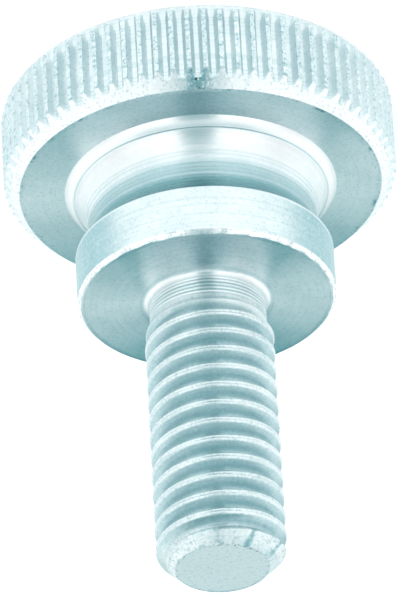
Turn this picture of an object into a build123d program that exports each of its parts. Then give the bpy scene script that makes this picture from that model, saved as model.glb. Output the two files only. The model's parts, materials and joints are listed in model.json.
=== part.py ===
from build123d import *
import math
import os

# Thumb screw, high collared pattern, M5 x 0.8, turned from one bar.
# Z is the screw axis. Z = 0 is the flat top of the head and the thread points to +Z.

# Thread and shank
thread_d = 5.0
shank_len = 11.85
relief_d = 4.5
relief_len = 1.0
tip_chamfer = 0.7

# Collar
collar_d = 10.0
collar_t = 2.1
collar_break = 0.15
seat_fillet = 0.25

# Neck: a bevelled step on the head, a fine ledge, a long cove, then a flare into the collar
step_d = 10.56
step_h = 0.32
ledge_w = 0.06
cove_d = 9.8
cove_len = 1.7
neck_d = 8.8
neck_straight = 0.08
flare_d = 9.7
flare_len = 0.95

# Head
head_d = 15.3
head_t = 3.65
head_chamfer = 0.6
head_break_radial = 0.3
head_break_axial = 0.35

# Straight knurl
knurl_teeth = 76
knurl_depth = 0.28
knurl_root = 0.2
knurl_angle = 45
knurl_phase = -1.2

# Heights that follow from the lengths above
ledge_z = head_t + step_h
neck_z = ledge_z + cove_len
flare_z = neck_z + neck_straight
collar_z = flare_z + flare_len
seat_z = collar_z + collar_t
tip_z = seat_z + shank_len
runout_z = seat_z + relief_len

# Half width of the cutter where it stands one groove depth clear of the head
groove_mouth = knurl_root / 2 + 2 * knurl_depth * math.tan(math.radians(knurl_angle / 2))


def ring_edge(part, diameter, height):
    """The circular edge of this diameter that lies at this height."""
    return part.edges().filter_by(
        lambda e: e.geom_type == GeomType.CIRCLE
        and abs(e.radius - diameter / 2) < 1e-4
        and abs(e.arc_center.Z - height) < 1e-4
    )


with BuildPart() as thumb_screw:
    # Half section of the turned blank
    with BuildSketch(Plane.XZ):
        with BuildLine():
            Polyline(
                (flare_d / 2, collar_z),
                (collar_d / 2, collar_z),
                (collar_d / 2, seat_z),
                (relief_d / 2, seat_z),
                (relief_d / 2, runout_z),
                (thread_d / 2, runout_z + (thread_d - relief_d) / 2),
                (thread_d / 2, tip_z),
                (0, tip_z),
                (0, 0),
                (head_d / 2, 0),
                (head_d / 2, head_t),
                (step_d / 2, head_t),
                (cove_d / 2 + ledge_w, ledge_z),
                (cove_d / 2, ledge_z),
            )
            # The cove and the flare both run into the straight neck without a corner
            TangentArc((neck_d / 2, neck_z), (cove_d / 2, ledge_z), tangent=(0, -1))
            Line((neck_d / 2, neck_z), (neck_d / 2, flare_z))
            TangentArc((neck_d / 2, flare_z), (flare_d / 2, collar_z), tangent=(0, 1))
        make_face()
    revolve(axis=Axis.Z)

    # Turned edges
    chamfer(ring_edge(thumb_screw, thread_d, tip_z), tip_chamfer)
    chamfer(ring_edge(thumb_screw, collar_d, seat_z), collar_break)
    chamfer(ring_edge(thumb_screw, head_d, head_t), head_chamfer)
    rim = thumb_screw.faces().filter_by(GeomType.CYLINDER).sort_by(lambda f: f.radius)[-1]
    chamfer(
        ring_edge(thumb_screw, head_d, 0),
        length=head_break_axial,
        length2=head_break_radial,
        reference=rim,
    )
    fillet(ring_edge(thumb_screw, relief_d, seat_z), seat_fillet)

    # Knurl grooves, steep sided over a wide flat root, right through both edge breaks
    with BuildSketch():
        with PolarLocations(head_d / 2, knurl_teeth, start_angle=knurl_phase):
            Polygon(
                (-knurl_depth, -knurl_root / 2),
                (knurl_depth, -groove_mouth),
                (knurl_depth, groove_mouth),
                (-knurl_depth, knurl_root / 2),
                align=None,
            )
    extrude(amount=head_t, mode=Mode.SUBTRACT)

thumb_screw.part.label = "thumb_screw"

os.makedirs("parts", exist_ok=True)
export_step(thumb_screw.part, "parts/thumb_screw.step")
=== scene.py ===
import json
import math

import bmesh
import bpy
import numpy as np
from mathutils import Matrix, Vector


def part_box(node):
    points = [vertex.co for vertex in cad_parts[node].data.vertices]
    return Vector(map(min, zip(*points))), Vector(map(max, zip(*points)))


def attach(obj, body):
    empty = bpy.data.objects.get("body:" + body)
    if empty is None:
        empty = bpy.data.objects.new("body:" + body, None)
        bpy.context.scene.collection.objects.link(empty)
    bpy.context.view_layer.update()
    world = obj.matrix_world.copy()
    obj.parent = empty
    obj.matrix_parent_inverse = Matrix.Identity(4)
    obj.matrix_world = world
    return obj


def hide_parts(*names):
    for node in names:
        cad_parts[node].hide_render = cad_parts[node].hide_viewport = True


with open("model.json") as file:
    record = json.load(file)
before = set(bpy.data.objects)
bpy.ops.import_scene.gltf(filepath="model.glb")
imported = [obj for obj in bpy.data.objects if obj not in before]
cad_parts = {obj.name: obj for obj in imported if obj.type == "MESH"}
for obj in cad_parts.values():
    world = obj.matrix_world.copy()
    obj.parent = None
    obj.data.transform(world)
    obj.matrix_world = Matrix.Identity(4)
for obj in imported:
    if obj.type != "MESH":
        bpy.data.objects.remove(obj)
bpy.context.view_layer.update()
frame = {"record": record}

# ---------------------------------------------------------------- sizes, in millimetres
# The frame is in metres. Angles around the axis are counted from -Y towards +X.

MM = 0.001
TAU = 2 * math.pi
rng = np.random.default_rng(11)

mounts = {m["name"]: m for m in frame["record"]["mounts"]}
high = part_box("thumb_screw")[1]
TIP_Z = high.z / MM
SEAT_Z = mounts["seat"]["pos_m"][2] / MM
THREAD_R = mounts["thread"]["dims"]["r_mm"]

HEAD_R = high.x / MM
HEAD_T = 3.65
HEAD_CHAMFER = 0.6
BREAK_RADIAL = 0.3
BREAK_AXIAL = 0.35

TEETH = 76
KNURL_DEPTH = 0.28
KNURL_ROOT = 0.2
FLANK_SLOPE = math.tan(math.radians(22.5))
KNURL_PHASE = math.radians(-1.2)
# At the rim the grooves have only this share of their depth, and by this height they have all of it
KNURL_START = 0.62
KNURL_FULL_Z = 0.8
# Half the width of the turn from groove to land
LAND_EDGE = 0.012
# Flat ground kept beside the head's bevels, and the rings that carry the flat top
RIM_MARGIN = 0.12
TOP_RINGS = (2.5, 5.0, 6.9)

STEP_H = 0.32
COVE_LEN = 1.7
NECK_STRAIGHT = 0.08
FLARE_LEN = 0.95
STEP_R = 5.28
LEDGE_R = 4.96
COVE_R = 4.9
NECK_R = 4.4
COLLAR_R = 5.0
FLARE_R = 4.85
LEDGE_Z = HEAD_T + STEP_H
COVE_END_Z = LEDGE_Z + COVE_LEN
FLARE_Z = COVE_END_Z + NECK_STRAIGHT
COLLAR_Z = FLARE_Z + FLARE_LEN
COLLAR_BREAK = 0.15

# Two lathe feeds that beat against each other along the neck, and the height of their marks
NECK_FEEDS = (0.17, 0.293)
NECK_MARK = 0.006

RELIEF_R = 2.25
SEAT_FILLET = 0.25
RELIEF_LEN = 1.0
RELIEF_GROOVE = 0.04
RELIEF_GROOVE_PITCH = 0.155
PITCH = 0.8
ROOT_R = 2.03
TIP_R = 1.8
CREST_PHASE_Z = SEAT_Z + 2.48 * PITCH

COLUMNS = 152

# Wear and painted shade, as a place on the turn and a width, both in degrees
NICK = (-1.0, 5.0)
HEAD_FRONT_SHADE = (2, 30)
SEAT_FRONT_SHADE = (2, 38)
CHIPPED = (-35, 50)
WORN_RIM = (-20, 70)

# Depths of the wear
LAND_PIT = 0.02
NICK_PIT = 0.07
TIP_NICK = 0.05
CREST_CHIP = 0.02


# ---------------------------------------------------------------- random surfaces

def waves(count, lowest, highest):
    """A closed random wobble of the angle and the height, about -1 to 1."""
    turns = rng.integers(lowest, highest, count)
    climb = rng.uniform(-highest / HEAD_R, highest / HEAD_R, count)
    start = rng.uniform(0, TAU, count)

    def value(angle, height):
        angle, height = np.broadcast_arrays(angle, height)
        total = np.zeros(angle.shape)
        for n, c, s in zip(turns, climb, start):
            total += np.sin(n * angle + c * height + s)
        return total / math.sqrt(count)

    return value


coarse = waves(12, 3, 14)
middle = waves(16, 20, 70)
fine = waves(24, 90, 260)


def around(angle, centre, width):
    """A bump on the turn: 1 at the centre, fading over the width, both in degrees."""
    away = (angle - math.radians(centre) + math.pi) % TAU - math.pi
    return np.exp(-((away / math.radians(width)) ** 2))


def smooth(x, start, end):
    """A soft step from 0 at the start to 1 at the end."""
    t = np.clip((x - start) / (end - start), 0, 1)
    return t * t * (3 - 2 * t)


# ---------------------------------------------------------------- the skin, ring by ring

class Skin:
    """One closed mesh, grown from the middle of the head's top to the middle of the tip."""

    def __init__(self):
        self.points = []
        self.marks = []
        self.faces = []
        self.count = 0
        self.last = None

    def add(self, angle, r, z, grain=0.0, tone=0.0, dull=0.0):
        """Grain is how pitted the surface is and how many painted glints it shows, dull how matt. Tone is
        paler above 0 and darker below it, for wear and for painted light and shade.
        """
        angle, r, z, grain, tone, dull = np.broadcast_arrays(angle, r, z, grain, tone, dull)
        self.points.append(np.stack([r * np.sin(angle), -r * np.cos(angle), z], -1))
        self.marks.append(np.stack([grain, tone, dull]).astype(float))
        ids = np.arange(self.count, self.count + len(angle))
        self.count += len(angle)
        return ids

    def ring(self, angle, r, z, *marks, **named):
        """Joins a new ring to the last one. A coarser ring takes several columns of the finer one a side."""
        new = self.add(angle, r, z, *marks, **named)
        old = self.last
        if old is not None:
            self.join(old, new)
        self.last = new

    def join(self, old, new):
        if len(old) == 1:
            self.faces += [(old[0], a, b) for a, b in zip(new, np.roll(new, -1))]
        elif len(new) == 1:
            self.faces += [(a, new[0], b) for a, b in zip(old, np.roll(old, -1))]
        else:
            sides = min(len(old), len(new))
            step_old, step_new = len(old) // sides, len(new) // sides
            for i in range(sides):
                first = [old[(i * step_old + k) % len(old)] for k in range(step_old + 1)]
                second = [new[(i * step_new + k) % len(new)] for k in range(step_new + 1)]
                self.faces.append(tuple(first + second[::-1]))

    def mesh(self, name):
        points = np.concatenate(self.points) * MM
        data = bpy.data.meshes.new(name)
        data.from_pydata(points.tolist(), [], [tuple(int(i) for i in f) for f in self.faces])
        for name, values in zip(("grain", "tone", "dull"), np.concatenate(self.marks, axis=1)):
            data.attributes.new(name, "FLOAT", "POINT").data.foreach_set("value", values.astype(np.float32))
        return data


skin = Skin()
turn = KNURL_PHASE + np.arange(COLUMNS) * TAU / COLUMNS


def rings(points, **kinds):
    """Plain rings through (radius, height) points."""
    for r, z in points:
        skin.ring(turn, r, z, **kinds)


# ---------------------------------------------------------------- head: top, knurl and chamfer

def tooth_columns():
    """Angles of the knurl's columns, and how deep the groove is at each."""
    half = math.pi * HEAD_R / TEETH
    floor = KNURL_ROOT / 2
    edge = floor + KNURL_DEPTH * FLANK_SLOPE
    one_side = np.array([
        0.9 * floor,
        (floor + edge) / 2,
        edge - LAND_EDGE,
        edge + LAND_EDGE,
        (edge + half) / 2,
    ])
    across = np.concatenate([[0], one_side, [half], 2 * half - one_side[::-1]])
    away = np.minimum(across, 2 * half - across)
    # The root is rounded into the sides
    depth = KNURL_DEPTH * np.clip(1 - (away / edge) ** 4, 0, 1)
    crest = smooth(away, edge - 0.015, edge + 0.015)
    angle = np.concatenate([KNURL_PHASE + (across + 2 * half * k) / HEAD_R for k in range(TEETH)])
    return angle, np.tile(depth, TEETH), np.tile(crest, TEETH)


def head():
    """The flat top, the rim's edge break, the knurled side and the scuffed chamfer under it."""
    angle, depth, crest = tooth_columns()
    skin.last = skin.add(np.zeros(1), 0.0, 0.0)
    for r in TOP_RINGS:
        skin.ring(KNURL_PHASE + np.arange(TEETH) * TAU / TEETH, r, 0.0)
    skin.ring(angle, HEAD_R - BREAK_RADIAL - RIM_MARGIN, 0.0)

    chamfer_z = HEAD_T - HEAD_CHAMFER
    heights = np.concatenate([
        np.linspace(0, BREAK_AXIAL, 8),
        np.linspace(BREAK_AXIAL, chamfer_z, 20)[1:],
        np.linspace(chamfer_z, HEAD_T, 20)[1:],
    ])
    nick = around(angle, *NICK)
    for z in heights:
        under = max(0.0, z - chamfer_z)
        above = max(0.0, 1 - z / BREAK_AXIAL)
        blank = HEAD_R - BREAK_RADIAL * above - under
        cut = HEAD_R - depth * (KNURL_START + (1 - KNURL_START) * smooth(z, 0.1, KNURL_FULL_Z))
        edges = smooth(blank, HEAD_R, HEAD_R - 0.06) if under or above else 0.0
        pits = np.clip(fine(angle, z) - 0.8, 0, 1.5)
        rough = crest * (0.005 + LAND_PIT * pits) * (1 - edges)
        lip = 0.5 + 0.5 * middle(angle, 3.0)
        scuff = edges * (0.006 * lip + (0.01 + NICK_PIT * nick * (under > 0)) * pits)
        scuff = scuff * (1 - smooth(under, HEAD_CHAMFER - RIM_MARGIN, HEAD_CHAMFER)) * smooth(z, 0.0, 0.1)
        r = np.minimum(blank, cut) - rough - scuff
        on_edge = smooth(cut, blank - 0.02, blank + 0.02) * edges
        grain = crest * (1 - on_edge) + on_edge * (0.5 + 0.5 * nick)
        groove = smooth(depth, 0.75 * KNURL_DEPTH, KNURL_DEPTH) * (1 - on_edge)
        wall = smooth(depth, 0.0, 0.2 * KNURL_DEPTH) * (1 - on_edge) - groove
        # Painted highlight along the groove bottoms and painted shade on the groove walls; the lands are a
        # little darker too
        tone = 0.1 * groove - 0.25 * wall - 0.3 * crest * (1 - on_edge)
        tone = tone + on_edge * np.where(under > 0, 0.75 - nick * (1.9 + 1.4 * pits), 0.3)
        skin.ring(angle, r, z - 0.3 * scuff, grain, tone, dull=0.35 + 0.15 * crest)


def underside():
    """The flat face under the head, up to the bevelled step."""
    edge_r = HEAD_R - HEAD_CHAMFER
    burr = np.clip(middle(turn, 0.0) + 0.7 * fine(turn, 0.0) - 0.2, 0, 1.4)
    # Painted reflection: the face is paler at the sides and darker at the front, with a little random tone
    front_shade = around(turn, *HEAD_FRONT_SHADE) + 0.15 * coarse(turn, 1.0)
    skin.ring(turn, edge_r - 0.03 - 0.02 * burr, HEAD_T - 0.02 * burr, grain=0.8, tone=0.6 - 1.4 * burr)
    skin.ring(turn, edge_r - 0.1 - 0.04 * burr, HEAD_T - 0.006 * burr, grain=0.6, tone=0.2 - 0.5 * burr)
    for r in np.linspace(edge_r - 0.25, STEP_R + 0.04, 9):
        z = HEAD_T - 0.004 * np.abs(coarse(turn, r))
        skin.ring(turn, r, z, grain=0.25, tone=0.3 - 0.75 * front_shade, dull=0.2)


# ---------------------------------------------------------------- neck and collar

def turned(z):
    """Tool marks along the neck, as a small change of radius."""
    first, second = NECK_FEEDS
    marks = 0.6 * np.sin(z * TAU / first) + 0.4 * np.sin(z * TAU / second + 1.0)
    return NECK_MARK * marks


def arc_back(reach, drop, length):
    """How far a tangent arc has left its straight, having run this far along it."""
    radius = (length**2 + drop**2) / (2 * drop)
    return radius - math.sqrt(radius**2 - reach**2)


def neck():
    """The bevelled step, the fine ledge, and the cove and flare with their tool marks."""
    # Painted highlight on the step's bevel and on the ledge, and a painted dark line at the foot of the ledge
    bevel = [(STEP_R, HEAD_T), (STEP_R - 0.05, HEAD_T + 0.08), (STEP_R - 0.14, HEAD_T + 0.19)]
    rings(bevel, tone=0.7)
    rings([(LEDGE_R + 0.06, LEDGE_Z - 0.05), (LEDGE_R, LEDGE_Z)], tone=0.6)
    rings([(COVE_R + 0.03, LEDGE_Z), (COVE_R, LEDGE_Z + 0.02)], tone=-0.3)
    cove = np.linspace(LEDGE_Z + 0.05, COVE_END_Z, 46)
    flare = np.linspace(COVE_END_Z, COLLAR_Z, 24)[1:]
    for z in np.concatenate([cove, flare]):
        r = NECK_R + arc_back(max(0.0, COVE_END_Z - z), COVE_R - NECK_R, COVE_END_Z - LEDGE_Z)
        r += arc_back(max(0.0, z - FLARE_Z), FLARE_R - NECK_R, COLLAR_Z - FLARE_Z)
        wear = smooth(z, LEDGE_Z + 0.3, LEDGE_Z + 0.9) * (1 - smooth(z, COLLAR_Z - 0.5, COLLAR_Z))
        # Painted light and shade: the cove is pale at the top and darker towards the collar, darker still on
        # the flare
        tone = 0.6 - 1.2 * smooth(z, LEDGE_Z + 0.6, COVE_END_Z - 0.3)
        tone -= 0.4 * smooth(z, FLARE_Z, FLARE_Z + 0.2)
        skin.ring(turn, r + wear * turned(z), z, tone=tone)


def collar():
    """The collar's rim, its ragged broken edge and the flat seat."""
    rings([(COLLAR_R - 0.03, COLLAR_Z), (COLLAR_R - 0.003, COLLAR_Z + 0.03)])
    low_edge = SEAT_Z - COLLAR_BREAK
    # Painted shade: the collar is paler at the front and back and darker at the sides
    side_shade = smooth(np.abs(np.sin(turn)), 0.3, 0.9)
    # Painted reflection: the seat is paler at the sides and darker at the front, with a little random tone
    front_shade = around(turn, *SEAT_FRONT_SHADE) + 0.15 * coarse(turn, 2.0)
    for z in np.linspace(COLLAR_Z + 0.15, low_edge - 0.03, 9):
        r = COLLAR_R - 0.006 - 0.002 * coarse(turn, z)
        skin.ring(turn, r, z, grain=0.25, tone=0.2 - 0.95 * side_shade, dull=0.4)
    rag = 0.5 + 0.5 * np.clip(middle(turn, 5.0) + 0.6 * fine(turn, 5.0), -1, 1)
    seat_r = COLLAR_R - COLLAR_BREAK
    skin.ring(turn, COLLAR_R - 0.012 * rag, low_edge - 0.04 * rag, grain=0.5, tone=0.9)
    skin.ring(turn, COLLAR_R - 0.05 - 0.03 * rag, low_edge + 0.05 - 0.03 * rag, grain=0.5, tone=1.0)
    skin.ring(turn, seat_r + 0.02 * rag, SEAT_Z - 0.02 * rag, grain=0.6, tone=1.2 - 1.6 * rag)
    skin.ring(turn, seat_r - 0.05, SEAT_Z, grain=0.2)
    for r in np.linspace(COLLAR_R - 0.4, RELIEF_R + SEAT_FILLET + 0.25, 9):
        z = SEAT_Z - 0.005 * np.abs(coarse(turn, r + 3))
        skin.ring(turn, r, z, grain=0.25, tone=0.35 - 0.8 * front_shade, dull=0.2)


def relief():
    """Fillet under the seat, then the short turned stretch with its tool grooves."""
    # Painted light and shade: the fillet is paler across its middle, and the tool grooves are darker than the
    # ground between them
    for a in np.linspace(0, math.pi / 2, 7):
        r = RELIEF_R + SEAT_FILLET * (1 - math.sin(a))
        z = SEAT_Z + SEAT_FILLET * (1 - math.cos(a))
        skin.ring(turn, r, z, grain=0.1, tone=0.5 * math.sin(2 * a))
    start = SEAT_Z + SEAT_FILLET
    end = SEAT_Z + RELIEF_LEN
    for z in np.linspace(start, end, 28)[1:]:
        fade = smooth(z, start, start + 0.1) * (1 - smooth(z, end - 0.12, end))
        groove = 0.5 - 0.5 * math.cos((z - start) * TAU / RELIEF_GROOVE_PITCH)
        r = RELIEF_R - RELIEF_GROOVE * fade * groove**2
        skin.ring(turn, r, z, tone=0.5 - 1.3 * groove * fade)


# ---------------------------------------------------------------- thread

def thread_columns():
    """Height from the crest's middle and radius there, over one pitch. The crest keeps its rolling seam."""
    half = PITCH / 2
    # Height from the crest's middle, and depth below the thread's outside
    crest = [(0.0, 0.035), (0.03, 0.01), (0.07, 0.004), (0.11, 0.022), (0.145, 0.075)]
    one_side = [(z, THREAD_R - drop) for z, drop in crest]
    one_side += [(0.27, ROOT_R + 0.135), (0.33, ROOT_R + 0.03)]
    mirrored = [(2 * half - z, r) for z, r in reversed(one_side[1:])]
    return np.array(one_side + [(half, ROOT_R)] + mirrored)


def thread():
    """The helix, as one row of points for each point of its shape on every turn."""
    shape = thread_columns()
    rows = len(shape)
    start_z = SEAT_Z + RELIEF_LEN
    first_turn = math.floor((start_z - CREST_PHASE_Z) / PITCH) - 2
    turns = math.ceil((TIP_Z - CREST_PHASE_Z) / PITCH) + 2 - first_turn
    grid = []
    scar = waves(10, 8, 30)
    chip = waves(20, 30, 120)
    for n in range(turns * rows):
        dz, r = shape[n % rows]
        z = CREST_PHASE_Z + (first_turn + n // rows) * PITCH + dz + PITCH * turn / TAU
        crest = smooth(r, THREAD_R - 0.1, THREAD_R - 0.02)
        grown = smooth(z, start_z + 0.1, start_z + 0.62)
        radius = RELIEF_R + grown * (r - RELIEF_R)
        radius = radius - crest * grown * (0.004 + CREST_CHIP * np.clip(chip(turn, z) - 0.7, 0, 2))
        radius = radius + 0.004 * scar(turn, z) * (1 - crest) * grown
        # One side of the tip is chipped where the thread runs out
        on_tip = smooth(z, TIP_Z - 0.8, TIP_Z - 0.6)
        nicks = on_tip * around(turn, *CHIPPED) * np.clip(scar(turn, z) - 0.2, 0, 1.4)
        cone = TIP_R + (TIP_Z - z) + 0.022 * coarse(turn, z)
        radius = np.minimum(radius, np.maximum(cone, TIP_R)) - TIP_NICK * nicks
        radius = np.where(z >= TIP_Z, TIP_R, radius)
        radius = np.where(z <= start_z, RELIEF_R, radius)
        # Painted shade: the thread is darker in its flanks and roots than on its crests
        tone = -0.62 * grown + 0.45 * crest * grown + 0.35 * on_tip - 1.3 * nicks
        grain = 0.12 + 0.3 * crest + 0.3 * on_tip
        height = np.clip(z, start_z, TIP_Z)
        grid.append(skin.add(turn, radius, height, grain, tone, dull=0.35 + 0.3 * on_tip))

    skin.join(skin.last, grid[0])
    for n in range(len(grid) - 1):
        # At the last column each row runs on into the row one pitch higher
        ahead = [grid[min(m + rows, len(grid) - 1)][0] for m in (n, n + 1)]
        near = np.append(grid[n], ahead[0])
        far = np.append(grid[n + 1], ahead[1])
        skin.faces += list(zip(near[:-1], near[1:], far[1:], far[:-1]))
    skin.last = grid[-1]


def tip():
    """The cut end, slightly uneven, with a worn rim."""
    worn = (0.3 + around(turn, *WORN_RIM)) * np.clip(middle(turn, 20.0) - 0.1, 0, 1)
    rim_z = TIP_Z - 0.01 - TIP_NICK * worn
    skin.ring(turn, TIP_R * 0.975 - TIP_NICK * worn, rim_z, grain=0.6, tone=1.0 - 2.6 * worn, dull=1.0)
    for share in (0.92, 0.8, 0.6, 0.4, 0.2):
        uneven = 0.015 * np.abs(coarse(turn, 4 * share)) + 0.006 * np.abs(middle(turn, 9 * share))
        dip = 0.01 + share * uneven
        skin.ring(turn, TIP_R * share, TIP_Z - dip, grain=0.3, tone=1.0, dull=1.3)
    middle_point = skin.add(np.zeros(1), 0.0, TIP_Z - 0.01, grain=0.3, tone=1.0, dull=1.3)
    skin.join(skin.last, middle_point)


head()
underside()
neck()
collar()
relief()
thread()
tip()


# ---------------------------------------------------------------- the piece

def finished(data):
    """Welds the clamped ends of the thread, faces everything outwards and marks the sharp edges."""
    shape = bmesh.new()
    shape.from_mesh(data)
    bmesh.ops.remove_doubles(shape, verts=shape.verts, dist=0.0001 * MM)
    bmesh.ops.dissolve_degenerate(shape, edges=shape.edges, dist=0.0001 * MM)
    bmesh.ops.recalc_face_normals(shape, faces=shape.faces)
    shape.to_mesh(data)
    shape.free()
    data.shade_smooth()
    data.set_sharp_from_angle(angle=math.radians(38))


body_mesh = skin.mesh("thumb_screw_body")
finished(body_mesh)
screw = bpy.data.objects.new("thumb_screw_body", body_mesh)
bpy.context.scene.collection.objects.link(screw)


# ---------------------------------------------------------------- materials

ZINC_GREY = (0.7, 0.79, 0.81, 1)
ZINC_PALE = (0.79, 0.86, 0.875, 1)
RING_SHADE = (0.42, 0.6, 0.63, 1)
SCUFF_AND_HIGHLIGHT = (0.95, 0.965, 0.97, 1)
SHADE_AND_STAIN = (0.19, 0.42, 0.46, 1)
BLACKENED = (0.06, 0.15, 0.18, 1)
PIT_SHADE = (0.14, 0.35, 0.39, 1)
WHITE = (1, 1, 1, 1)

# Noise features to a millimetre
RINGS_PER_MM = 7.0
PITS_PER_MM = 8.0
CLOUDS_PER_MM = 0.7
LATHE_SHEEN = 0.9


class Tree:
    """A short way to write shader nodes."""

    def __init__(self, owner):
        owner.use_nodes = True
        self.nodes = owner.node_tree.nodes
        self.links = owner.node_tree.links
        self.nodes.clear()

    def node(self, kind, settings=(), **inputs):
        """One node. Each input is a value or another node's socket, and _0, _1 count inputs by place."""
        made = self.nodes.new(kind)
        for name, value in dict(settings).items():
            setattr(made, name, value)
        for name, value in inputs.items():
            key = int(name[1:]) if name[0] == "_" else name.replace("_", " ")
            if isinstance(value, bpy.types.NodeSocket):
                self.links.new(value, made.inputs[key])
            else:
                made.inputs[key].default_value = value
        return made

    def math(self, operation, a, b=0.0, c=0.0):
        return self.node("ShaderNodeMath", {"operation": operation}, _0=a, _1=b, _2=c).outputs[0]

    def mix(self, share, a, b):
        """Colour a, giving way to colour b as the share goes from 0 to 1."""
        made = self.node("ShaderNodeMix", {"data_type": "RGBA"})
        for key, value in ((0, share), (6, a), (7, b)):
            if isinstance(value, bpy.types.NodeSocket):
                self.links.new(value, made.inputs[key])
            else:
                made.inputs[key].default_value = value
        return made.outputs[2]

    def span(self, value, low, high, to_low=0.0, to_high=1.0):
        """A soft step, from to_low where the value is low to to_high where it is high."""
        made = self.node("ShaderNodeMapRange", {"interpolation_type": "SMOOTHSTEP"}, Value=value)
        for key, number in zip(("From Min", "From Max", "To Min", "To Max"), (low, high, to_low, to_high)):
            made.inputs[key].default_value = number
        return made.outputs[0]


def zinc_plate():
    """Bright zinc on turned steel: lathe rings, pitting on the crests, scuffed edges, and painted highlights,
    shade and glints.
    """
    material = bpy.data.materials.new("zinc_plate")
    tree = Tree(material)
    place = tree.node("ShaderNodeTexCoord").outputs["Object"]
    in_mm = tree.node("ShaderNodeVectorMath", {"operation": "SCALE"}, _0=place, Scale=1 / MM).outputs[0]
    axes = tree.node("ShaderNodeSeparateXYZ", Vector=in_mm).outputs
    flat = tree.node("ShaderNodeCombineXYZ", X=axes[0], Y=axes[1], Z=0.0).outputs[0]
    radius = tree.node("ShaderNodeVectorMath", {"operation": "LENGTH"}, _0=flat).outputs["Value"]
    rings_at = tree.node("ShaderNodeCombineXYZ", X=radius, Y=axes[2], Z=0.0).outputs[0]

    def mark(name):
        return tree.node("ShaderNodeAttribute", {"attribute_name": name}).outputs["Fac"]

    def noise(vector, scale, detail, roughness):
        made = tree.node("ShaderNodeTexNoise", Vector=vector, Scale=scale, Detail=detail, Roughness=roughness)
        return made.outputs[0]

    grain = mark("grain")
    tone = mark("tone")
    dull = mark("dull")
    rings = noise(rings_at, RINGS_PER_MM, 3.0, 0.7)
    pits = noise(in_mm, PITS_PER_MM, 3.0, 0.7)
    clouds = noise(in_mm, CLOUDS_PER_MM, 3.0, 0.5)
    pitted = tree.span(pits, 0.53, 0.68)
    glints = tree.span(pits, 0.47, 0.36)

    base = tree.mix(tree.span(clouds, 0.35, 0.65), ZINC_GREY, ZINC_PALE)
    base = tree.mix(tree.math("MULTIPLY", tree.span(rings, 0.5, 0.66), 0.5), base, RING_SHADE)
    # Tone above 0 gives scuffs and painted highlights, tone below 0 stains and painted shade
    base = tree.mix(tree.span(tone, 0.0, 1.0, 0.0, 0.85), base, SCUFF_AND_HIGHLIGHT)
    base = tree.mix(tree.span(tone, 0.0, -1.0, 0.0, 0.85), base, SHADE_AND_STAIN)
    base = tree.mix(tree.span(tone, -1.0, -2.0), base, BLACKENED)
    spots = tree.math("MULTIPLY", pitted, tree.math("MULTIPLY_ADD", grain, 0.75, 0.06))
    base = tree.mix(spots, base, PIT_SHADE)
    # Painted glints: white specks in the colour, more where the surface is grainy
    sparks = tree.math("MULTIPLY", glints, tree.math("MULTIPLY_ADD", grain, 0.5, 0.08))
    base = tree.mix(sparks, base, WHITE)

    rough = tree.math("MULTIPLY_ADD", rings, 0.12, 0.22)
    rough = tree.math("MULTIPLY_ADD", dull, 0.26, rough)

    fine_rings = tree.node("ShaderNodeBump", Strength=0.4, Distance=0.004 * MM, Height=rings).outputs[0]
    height = tree.math("MULTIPLY", pits, tree.math("MULTIPLY_ADD", grain, 0.85, 0.15))
    dents = tree.node("ShaderNodeBump", Strength=0.7, Distance=0.02 * MM, Height=height, Normal=fine_rings)

    # The sheen runs across the lathe's rings, and is lost where the surface is dull
    sheen = tree.span(dull, 0.0, 1.0, LATHE_SHEEN, 0.0)
    along = tree.node("ShaderNodeTangent", {"direction_type": "RADIAL", "axis": "Z"})
    shader = tree.node("ShaderNodeBsdfPrincipled", Metallic=1.0, Base_Color=base, Roughness=rough)
    tree.links.new(sheen, shader.inputs["Anisotropic"])
    shader.inputs["Anisotropic Rotation"].default_value = 0.25
    tree.links.new(along.outputs[0], shader.inputs["Tangent"])
    tree.links.new(dents.outputs[0], shader.inputs["Normal"])
    tree.node("ShaderNodeOutputMaterial", Surface=shader.outputs[0])
    return material


screw.data.materials.append(zinc_plate())
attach(screw, "root")
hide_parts("thumb_screw")


# ---------------------------------------------------------------- floor, light and camera

FLOOR_SHADE = (0.62, 0.62, 0.62, 1)
FLOOR_GLOW = 0.45
FRONT_LIGHT = (1.35, 1.35, 1.35, 1)
CEILING = (1.25, 1.29, 1.29, 1)
STRIP = (0.0, 0.29, 0.32, 1)
PERSON = (0.16, 0.38, 0.41, 1)
# Sine of the height at which the screw's flat faces mirror the room
MIRRORED = 0.53


def floor():
    """A plain white table top. It glows a little, so that it stays white and still takes the shadow."""
    bpy.ops.mesh.primitive_plane_add(size=8.0)
    plane = bpy.context.object
    plane.name = "floor"
    material = bpy.data.materials.new("floor")
    tree = Tree(material)
    path = tree.node("ShaderNodeLightPath").outputs
    seen = tree.math("MAXIMUM", path["Is Camera Ray"], path["Is Glossy Ray"])
    seen = tree.math("MAXIMUM", seen, path["Is Transmission Ray"])
    matt = tree.node("ShaderNodeBsdfDiffuse", Color=FLOOR_SHADE).outputs[0]
    strength = tree.math("MULTIPLY", seen, FLOOR_GLOW)
    glow = tree.node("ShaderNodeEmission", Color=WHITE, Strength=strength).outputs[0]
    both = tree.node("ShaderNodeAddShader", _0=matt, _1=glow).outputs[0]
    tree.node("ShaderNodeOutputMaterial", Surface=both)
    plane.data.materials.append(material)


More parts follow.
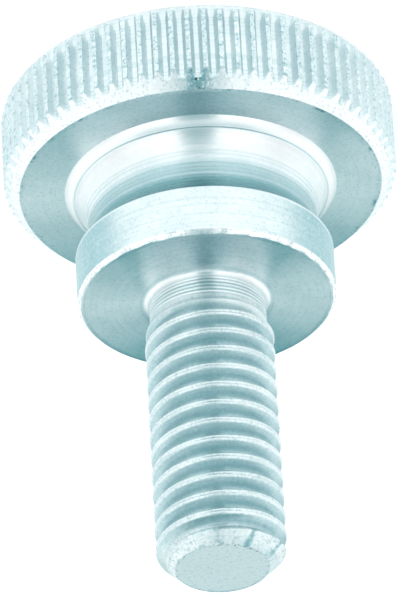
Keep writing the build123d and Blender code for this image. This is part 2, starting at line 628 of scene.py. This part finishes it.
def sky():
    """A white room: a dark strip overhead and behind the screw, and a dim patch at the camera."""
    world = bpy.data.worlds.new("room")
    bpy.context.scene.world = world
    tree = Tree(world)
    way = tree.node("ShaderNodeTexCoord").outputs["Generated"]
    sides, depth, rise = tree.node("ShaderNodeSeparateXYZ", Vector=way).outputs

    def facing(direction, squeeze=1.0):
        narrow = tree.node("ShaderNodeVectorMath", {"operation": "MULTIPLY"}, _0=way, _1=(squeeze, 1, 1))
        narrow = tree.node("ShaderNodeVectorMath", {"operation": "NORMALIZE"}, _0=narrow.outputs[0])
        aim = Vector(direction).normalized()
        made = tree.node("ShaderNodeVectorMath", {"operation": "DOT_PRODUCT"}, _0=narrow.outputs[0], _1=aim)
        return made.outputs["Value"]

    behind = tree.span(facing((0.0, 0.8, 0.6)), 0.12, 0.45)
    ceiling = tree.math("MULTIPLY", behind, tree.span(rise, 0.1, 0.28))
    to_camera = (0.0, -0.85, MIRRORED)
    person = tree.span(facing(to_camera, squeeze=1.8), 0.84, 0.95, 0.0, 0.9)
    front = tree.math("MULTIPLY", tree.span(facing(to_camera), 0.3, 0.8), tree.span(rise, 0.0, 0.2))

    # The strip is narrow where the flat faces mirror it, and wider above and below
    waist = tree.math("ABSOLUTE", tree.math("SUBTRACT", rise, MIRRORED))
    width = tree.math("MULTIPLY_ADD", waist, 0.9, 0.05)
    strip = tree.span(tree.math("DIVIDE", tree.math("ABSOLUTE", sides), width), 1.7, 0.6)
    back_half = tree.math("MULTIPLY", tree.span(depth, -0.45, -0.05), tree.span(rise, 0.05, 0.25))
    strip = tree.math("MULTIPLY", strip, back_half)

    colour = tree.mix(front, WHITE, FRONT_LIGHT)
    colour = tree.mix(ceiling, colour, CEILING)
    colour = tree.mix(strip, colour, STRIP)
    colour = tree.mix(person, colour, PERSON)
    back = tree.node("ShaderNodeBackground", Color=colour, Strength=1.0).outputs[0]
    tree.node("ShaderNodeOutputWorld", Surface=back)


def lamp(name, place, size, power):
    """A square lamp aimed at the screw. It lights the table, and the metal doesn't mirror it."""
    data = bpy.data.lights.new(name, "AREA")
    data.size = size
    data.energy = power
    made = bpy.data.objects.new(name, data)
    made.location = place
    made.visible_glossy = False
    made.rotation_euler = (Vector((0, 0, TIP_Z * MM / 2)) - made.location).to_track_quat("-Z", "Y").to_euler()
    bpy.context.scene.collection.objects.link(made)


# The camera looks down at the thread, rolled half a turn so that the head is at the top of the picture
CAMERA_DISTANCE = 280 * MM
CAMERA_RISE = math.radians(32.03)
CAMERA_ROLL = math.radians(183.33)
CAMERA_YAW = math.radians(-0.0559)
CAMERA_PITCH = math.radians(-0.026)
CAMERA_LENS = 438.0


def camera():
    """Aims at the middle of the seat, then turns by the small yaw and pitch and by the roll."""
    away = Vector((0, -math.cos(CAMERA_RISE), math.sin(CAMERA_RISE)))
    forward = -away
    right = forward.cross(Vector((0, 0, 1))).normalized()
    up = right.cross(forward)
    yaw = Matrix.Rotation(CAMERA_YAW, 3, up)
    forward, right = yaw @ forward, yaw @ right
    pitch = Matrix.Rotation(CAMERA_PITCH, 3, right)
    forward, up = pitch @ forward, pitch @ up
    roll = Matrix.Rotation(CAMERA_ROLL, 3, forward)
    right, up = roll @ right, roll @ up
    turned_to = Matrix((right, up, -forward)).transposed().to_4x4()
    data = bpy.data.cameras.new("camera")
    data.lens = CAMERA_LENS
    data.sensor_width = 36
    data.clip_start = 0.01
    made = bpy.data.objects.new("camera", data)
    seat = Vector((0, 0, SEAT_Z * MM))
    made.matrix_world = Matrix.Translation(seat + away * CAMERA_DISTANCE) @ turned_to
    bpy.context.scene.collection.objects.link(made)
    bpy.context.scene.camera = made


floor()
sky()
lamp("key", (0.05, -0.3, 0.4), 0.3, 1.6)
camera()
bpy.context.scene.view_settings.view_transform = "Standard"
